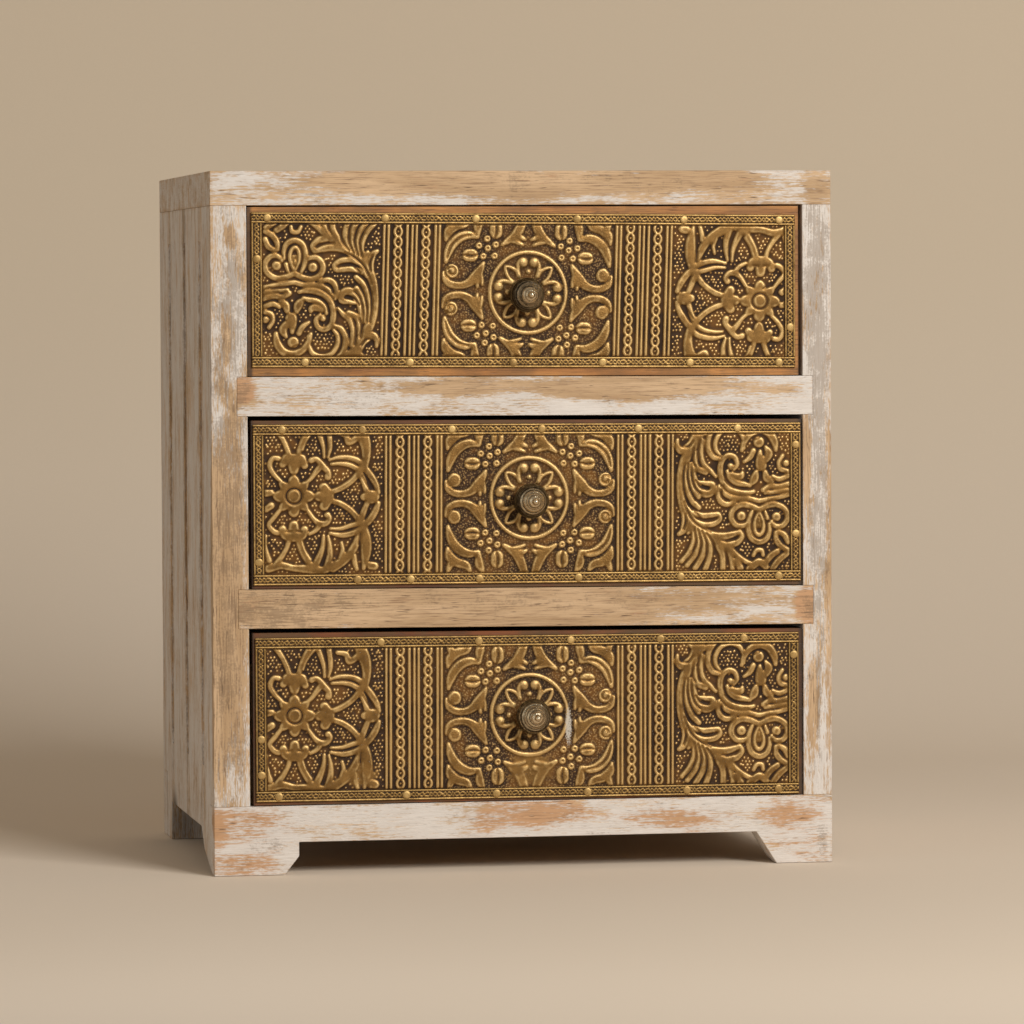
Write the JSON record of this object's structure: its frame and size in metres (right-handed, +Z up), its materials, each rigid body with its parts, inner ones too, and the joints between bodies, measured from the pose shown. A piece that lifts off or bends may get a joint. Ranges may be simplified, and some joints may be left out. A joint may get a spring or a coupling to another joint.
{
  "type": "small chest of drawers",
  "caption": "Small wooden chest of inset drawers on bracket feet, the drawer fronts faced with embossed brass and pulled by turned knobs.",
  "frame": {"origin": "on the floor, at the middle of the whole box, knobs included", "axes": "+Z up, -Y out of the drawer fronts, +X to the right as seen from the front"},
  "size_m": [0.252, 0.197, 0.28],
  "materials": {
    "whitewashed_wood": "distressed whitewash over open-grained wood",
    "stained_wood": "orange-brown stain, matt",
    "raw_wood": "bare, sanded",
    "plywood": "bare plywood",
    "embossed_brass": "embossed sheet, dark patina in the ground",
    "strip_brass": "stippled strip, lightly tarnished",
    "antique_bronze": "dark antique finish, polished by use",
    "steel": "plain wire and screw steel"
  },
  "bodies": {
    "carcass": {"back_panel": "plywood", "back_panel_pins": "steel", "bottom_board": "plywood", "front_apron": "whitewashed_wood", "left_side_board": "whitewashed_wood", "lower_front_rail": "whitewashed_wood", "lower_shelf": "plywood", "rear_apron": "whitewashed_wood", "right_side_board": "whitewashed_wood", "top_board": "whitewashed_wood", "upper_front_rail": "whitewashed_wood", "upper_shelf": "plywood"},
    "lower_drawer": {"lower_bottom_strip": "strip_brass", "lower_brass_nails": "strip_brass", "lower_brass_sheet": "embossed_brass", "lower_drawer_back": "raw_wood", "lower_drawer_base": "plywood", "lower_drawer_front": "stained_wood", "lower_drawer_left_side": "raw_wood", "lower_drawer_pins": "steel", "lower_drawer_right_side": "raw_wood", "lower_knob": "antique_bronze", "lower_knob_screw": "steel", "lower_knob_washer": "steel", "lower_left_strip": "strip_brass", "lower_right_strip": "strip_brass", "lower_top_strip": "strip_brass"},
    "middle_drawer": {"middle_bottom_strip": "strip_brass", "middle_brass_nails": "strip_brass", "middle_brass_sheet": "embossed_brass", "middle_drawer_back": "raw_wood", "middle_drawer_base": "plywood", "middle_drawer_front": "stained_wood", "middle_drawer_left_side": "raw_wood", "middle_drawer_pins": "steel", "middle_drawer_right_side": "raw_wood", "middle_knob": "antique_bronze", "middle_knob_screw": "steel", "middle_knob_washer": "steel", "middle_left_strip": "strip_brass", "middle_right_strip": "strip_brass", "middle_top_strip": "strip_brass"},
    "upper_drawer": {"upper_bottom_strip": "strip_brass", "upper_brass_nails": "strip_brass", "upper_brass_sheet": "embossed_brass", "upper_drawer_back": "raw_wood", "upper_drawer_base": "plywood", "upper_drawer_front": "stained_wood", "upper_drawer_left_side": "raw_wood", "upper_drawer_pins": "steel", "upper_drawer_right_side": "raw_wood", "upper_knob": "antique_bronze", "upper_knob_screw": "steel", "upper_knob_washer": "steel", "upper_left_strip": "strip_brass", "upper_right_strip": "strip_brass", "upper_top_strip": "strip_brass"}
  },
  "joints": [
    {"name": "upper_drawer_slide", "type": "slide", "parent": "carcass", "child": "upper_drawer", "axis": [0, -1, 0], "range_m": [0, 0.12]},
    {"name": "middle_drawer_slide", "type": "slide", "parent": "carcass", "child": "middle_drawer", "axis": [0, -1, 0], "range_m": [0, 0.12]},
    {"name": "lower_drawer_slide", "type": "slide", "parent": "carcass", "child": "lower_drawer", "axis": [0, -1, 0], "range_m": [0, 0.12]}
  ]
}
